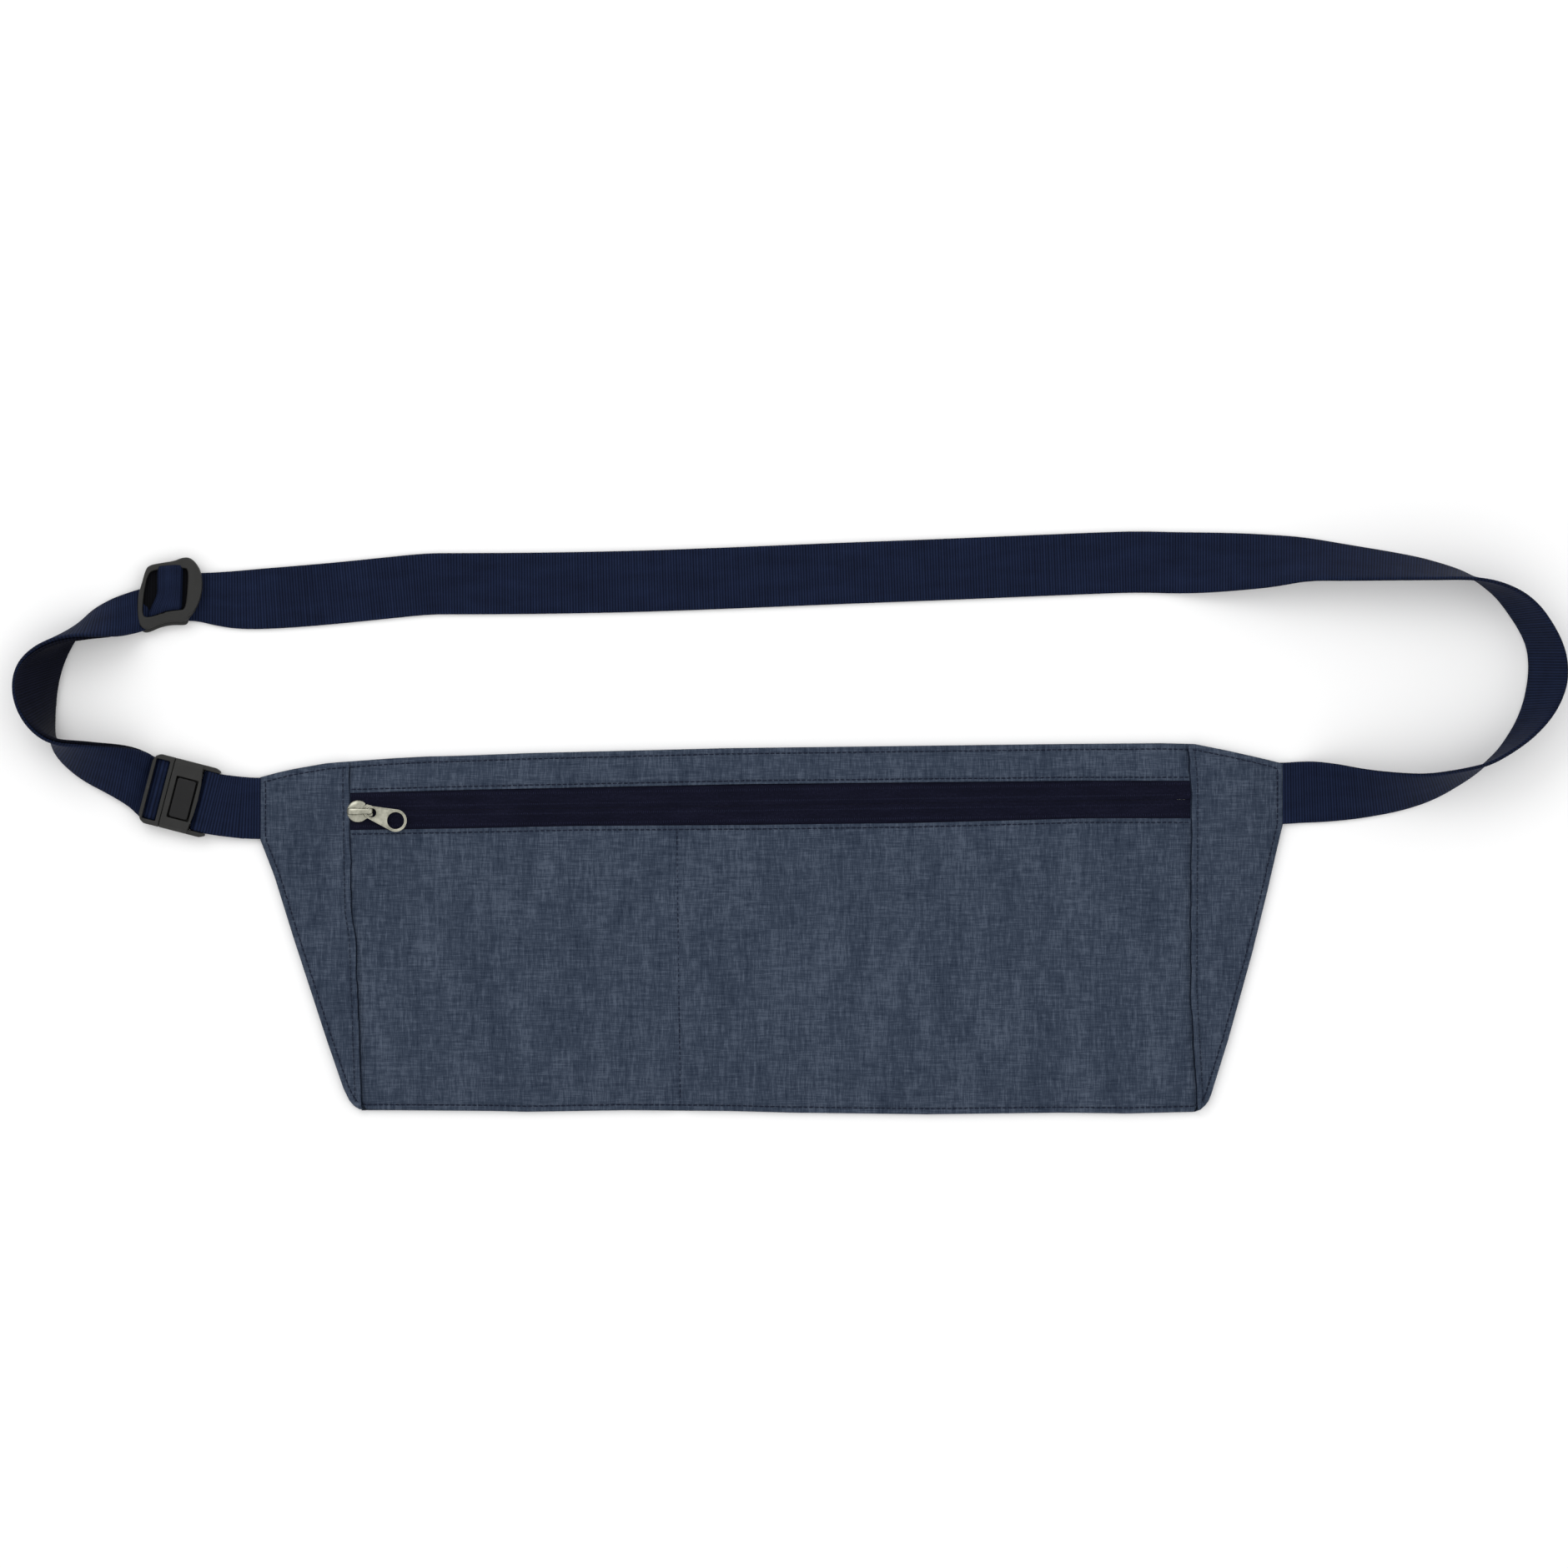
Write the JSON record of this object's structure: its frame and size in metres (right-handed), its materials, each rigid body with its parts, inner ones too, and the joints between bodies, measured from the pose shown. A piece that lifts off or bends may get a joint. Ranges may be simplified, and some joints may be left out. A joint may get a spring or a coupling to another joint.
{
  "type": "money belt",
  "caption": "Flat zipped fabric waist pouch on an adjustable webbing belt with a push-button buckle and a three-bar slide.",
  "frame": {"origin": "middle of the pouch's back face, which lies on z = 0", "axes": "+X along the pouch to the end where the strap is sewn in plain, +Y from the pouch towards the far side of the waist loop, +Z out of the front of the pouch"},
  "size_m": [0.508, 0.1898, 0.0202],
  "materials": {
    "fabric_front": "slate blue melange polyester",
    "fabric_back": "slate blue melange polyester",
    "lining": "thin dark lining",
    "zip_tape": "dark navy knitted tape",
    "zip_coil": "dark navy nylon",
    "zip_metal": "satin nickel plate",
    "thread": "dark navy polyester thread",
    "webbing": "dark navy ribbed webbing",
    "black_plastic": "black acetal, fine grain"
  },
  "bodies": {
    "pouch": {"back_panel": "fabric_back", "front_lower_panel": "fabric_front", "front_top_strip": "fabric_front", "left_wing_panel": "fabric_front", "right_wing_panel": "fabric_front", "organizer_panel": "lining", "zip_tape_upper": "zip_tape", "zip_tape_lower": "zip_tape", "zip_coil_upper": "zip_coil", "zip_coil_lower": "zip_coil", "zip_top_stop": "zip_metal", "zip_bottom_stop": "zip_metal", "thread_outline": "thread", "thread_zip": "thread", "thread_wings": "thread", "thread_divider": "thread", "strap_main": "webbing", "strap_short_loop": "webbing", "buckle_socket": "black_plastic"},
    "zip_slider": {"zip_slider_body": "zip_metal", "zip_slider_crown": "zip_metal"},
    "zip_pull": {"zip_pull_tab": "zip_metal"},
    "adjuster": {"adjuster_frame": "black_plastic", "strap_end_wrap": "webbing", "strap_over_bar": "webbing"},
    "buckle_male": {"buckle_plug_frame": "black_plastic", "strap_left_loop": "webbing"},
    "release_button": {"release_tongue": "black_plastic"}
  },
  "joints": [
    {"name": "zip_slide", "type": "slide", "parent": "pouch", "child": "zip_slider", "axis": [0.9999, 0.0144, 0], "range_m": [0, 0.26], "deforming": ["zip_coil_upper", "zip_coil_lower", "zip_tape_upper", "zip_tape_lower"]},
    {"name": "zip_pull_hinge", "type": "hinge", "parent": "zip_slider", "child": "zip_pull", "pos_m": [-0.13165, 0.03834, 0.0066], "axis": [-0.3074, -0.9516, 0], "range_deg": [0, 130]},
    {"name": "adjuster_slide", "type": "slide", "parent": "pouch", "child": "adjuster", "axis": [0.9995, 0.0331, 0], "range_m": [0, 0.3]},
    {"name": "buckle_release", "type": "slide", "parent": "pouch", "child": "buckle_male", "axis": [-0.9681, 0.2504, 0], "range_m": [0, 0.014], "deforming": ["release_tongue"]},
    {"name": "button_press", "type": "hinge", "parent": "buckle_male", "child": "release_button", "pos_m": [-0.19632, 0.04437, 0.0033], "axis": [0.2504, 0.9681, 0], "range_deg": [0, 9], "stiffness_Nm_per_rad": 0.02}
  ]
}
